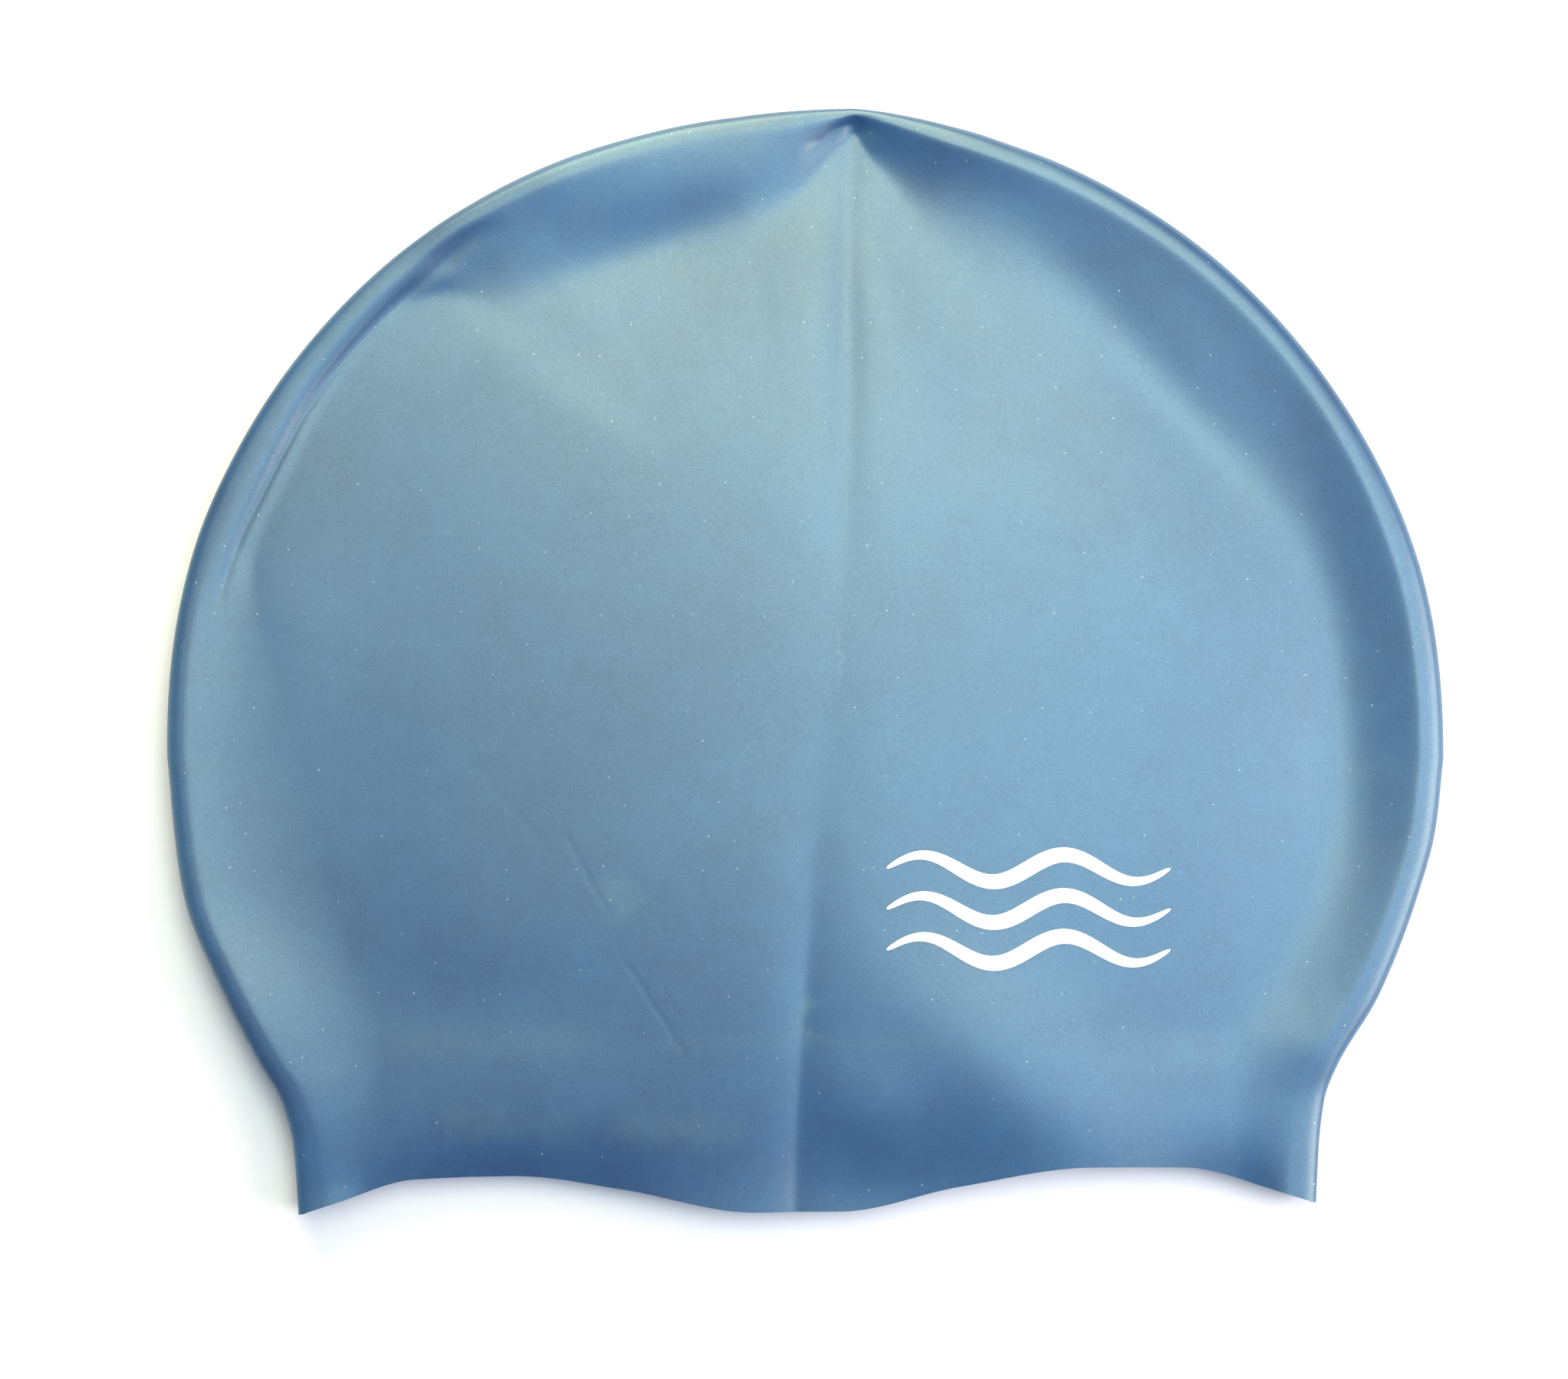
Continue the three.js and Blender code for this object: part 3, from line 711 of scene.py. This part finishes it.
def siliconeFinish():
    finish = Finish("silicone")
    place = finish.millimetres()
    plan = finish.vector("ADD", place, (0, cap["height"] / 2, 0))
    clouds = finish.noise(place, silicone["cloudScale"], 4.0, 0.55)
    patches = finish.noise(place, silicone["patchScale"], 3.0, 0.65)
    patchShare = silicone["patchShare"]
    tone = clouds.ease(0.3, 0.7) * (1 - patchShare) + patches.ease(0.3, 0.7) * patchShare
    colour = finish.blend(tone, silicone["deepBlue"], silicone["paleBlue"])
    drift = finish.noise(place, silicone["driftScale"], 1.0, 0.6) - 0.5
    aside = finish.scaled((1, 0.6, 0), drift * silicone["waver"])
    flatPlan = finish.flat(plan)
    creasePlan = finish.vector("ADD", flatPlan, finish.scaled(aside, silicone["creaseWaver"]))
    smudgePlan = finish.vector("ADD", flatPlan, aside)
    lying = finish.rise(finish.node("TexCoord", output=1)).maths("ABSOLUTE").ease(0.5, 0.8)
    wear = finish.noise(place, silicone["wearScale"], 3.0, 0.6).ease(0.2, 0.7) * lying
    dust = finish.strokes(smudgePlan, silicone["smudges"]) * (0.5 * lying + 0.5 * wear)
    colour = finish.blend(dust, colour, silicone["dust"])
    cells = {"Vector": finish.scaled(plan, 1 / silicone["speckSpacing"]), "Scale": 1.0}
    flatCells = {"voronoi_dimensions": "2D"}
    fromSpeck = finish.node("TexVoronoi", flatCells, cells) * silicone["speckSpacing"]
    bright = finish.node("TexVoronoi", flatCells, cells, output=1).ease(0.5, 1.0)
    speck = (1 - fromSpeck.ease(0, silicone["speckRadius"])) * bright * lying
    colour = finish.blend(speck, colour, silicone["speck"])
    grain = finish.noise(place, silicone["grainScale"], 2.0, 0.6)
    pressed = finish.strokes(creasePlan, silicone["creases"]) * silicone["creaseDepth"]
    normal = finish.bump(grain * silicone["grainDepth"] - pressed, 1.0, mm)
    body = finish.node("BsdfPrincipled", None, {
        "Base Color": colour,
        "Roughness": silicone["roughness"],
        "Normal": normal,
    })
    pearl = finish.node("BsdfPrincipled", None, {
        "Base Color": silicone["pearl"],
        "Metallic": 1.0,
        "Roughness": silicone["pearlRoughness"],
        "Normal": normal,
    })
    share = silicone["pearlShare"] * (1 + silicone["pearlGrain"] * (grain - 0.5))
    return finish.finishWith(finish.node("MixShader", None, {0: share, 1: body, 2: pearl}))


ink = {
    "white": (0.90, 0.94, 0.95, 1),
    "worn": (0.82, 0.87, 0.89, 1),
    "wearScale": 0.6,
    "roughness": 0.5,
    "grainScale": 2.2,
    "grainDepth": 0.03,
    "grainStrength": 0.2,
}


def inkFinish():
    finish = Finish("ink")
    place = finish.millimetres()
    wear = finish.noise(place, ink["wearScale"], 4.0, 0.6)
    colour = finish.blend(wear.ease(0.25, 0.5), ink["worn"], ink["white"])
    grain = finish.noise(place, ink["grainScale"], 2.0, 0.5)
    normal = finish.bump(grain, ink["grainStrength"], ink["grainDepth"] * mm)
    return finish.finishWith(finish.node("BsdfPrincipled", None, {
        "Base Color": colour,
        "Roughness": ink["roughness"],
        "Normal": normal,
    }))


capPiece.data.materials.clear()
capPiece.data.materials.append(siliconeFinish())
printPiece.data.materials.append(inkFinish())
print("finishes made")

# The room: a pale floor, soft lights and the camera straight above
room = {
    "floorSize": 4.0,
    "floorDrop": 0.02,  # how far the floor lies below the cap
    "floorColour": (0.88, 0.86, 0.94, 1),
    "floorRoughness": 0.8,
    "skyColour": (0.75, 0.72, 1.0, 1),
    "skyStrength": 0.2,
    "lens": 85.0,
    "sensor": 36.0,
    "frameWidth": 270.9,  # what the frame shows at the outline's height
    "frameMiddle": (-3.7, -4.8),
    "lights": {
        # name: (bearing, height angle, distance, size, watts, colour)
        "crownLow": (100, 32, 0.5, 0.4, 2.7, (1.0, 1.0, 0.65)),
        "crownHigh": (85, 72, 0.8, 0.5, 3.3, (1.0, 1.0, 0.65)),
        "rightLow": (-10, 32, 0.5, 0.4, 2.5, (1.0, 0.96, 0.86)),
        "rightHigh": (-8, 74, 0.75, 0.5, 2.1, (0.5, 0.77, 1.0)),
        "leftLow": (185, 20, 0.5, 0.4, 0.3, (0.6, 1.0, 0.85)),
    },
}


def makeFloor():
    half = room["floorSize"] / 2
    mesh = bpy.data.meshes.new("floor")
    corners = [(-half, -half, 0), (half, -half, 0), (half, half, 0), (-half, half, 0)]
    mesh.from_pydata(corners, [], [(0, 1, 2, 3)])
    floor = bpy.data.objects.new("floor", mesh)
    floor.location.z = -room["floorDrop"] * mm
    bpy.context.scene.collection.objects.link(floor)
    finish = Finish("floor")
    inputs = {"Base Color": room["floorColour"], "Roughness": room["floorRoughness"]}
    mesh.materials.append(finish.finishWith(finish.node("BsdfPrincipled", None, inputs)))


def makeLight(name, bearing, heightAngle, distance, size, watts, colour):
    data = bpy.data.lights.new(name, "AREA")
    data.shape = "DISK"
    data.size = size
    data.energy = watts
    data.color = colour
    light = bpy.data.objects.new(name, data)
    turn, rise = math.radians(bearing), math.radians(heightAngle)
    level = math.cos(rise)
    towards = Vector((math.cos(turn) * level, math.sin(turn) * level, math.sin(rise)))
    light.location = towards * distance
    light.rotation_euler = towards.to_track_quat("Z", "Y").to_euler()
    bpy.context.scene.collection.objects.link(light)


def makeCamera():
    data = bpy.data.cameras.new("camera")
    data.lens = room["lens"]
    data.sensor_width = room["sensor"]
    camera = bpy.data.objects.new("camera", data)
    x, y = room["frameMiddle"]
    above = cap["rollMiddle"] + room["frameWidth"] * room["lens"] / room["sensor"]
    camera.location = Vector((x, y, above)) * mm
    bpy.context.scene.collection.objects.link(camera)
    bpy.context.scene.camera = camera


def makeSky():
    world = bpy.data.worlds.new("sky")
    world.use_nodes = True
    background = world.node_tree.nodes["Background"]
    background.inputs["Color"].default_value = room["skyColour"]
    background.inputs["Strength"].default_value = room["skyStrength"]
    bpy.context.scene.world = world


makeFloor()
for name, settings in room["lights"].items():
    makeLight(name, *settings)
makeCamera()
makeSky()
bpy.context.scene.view_settings.view_transform = "Standard"
print("room made")
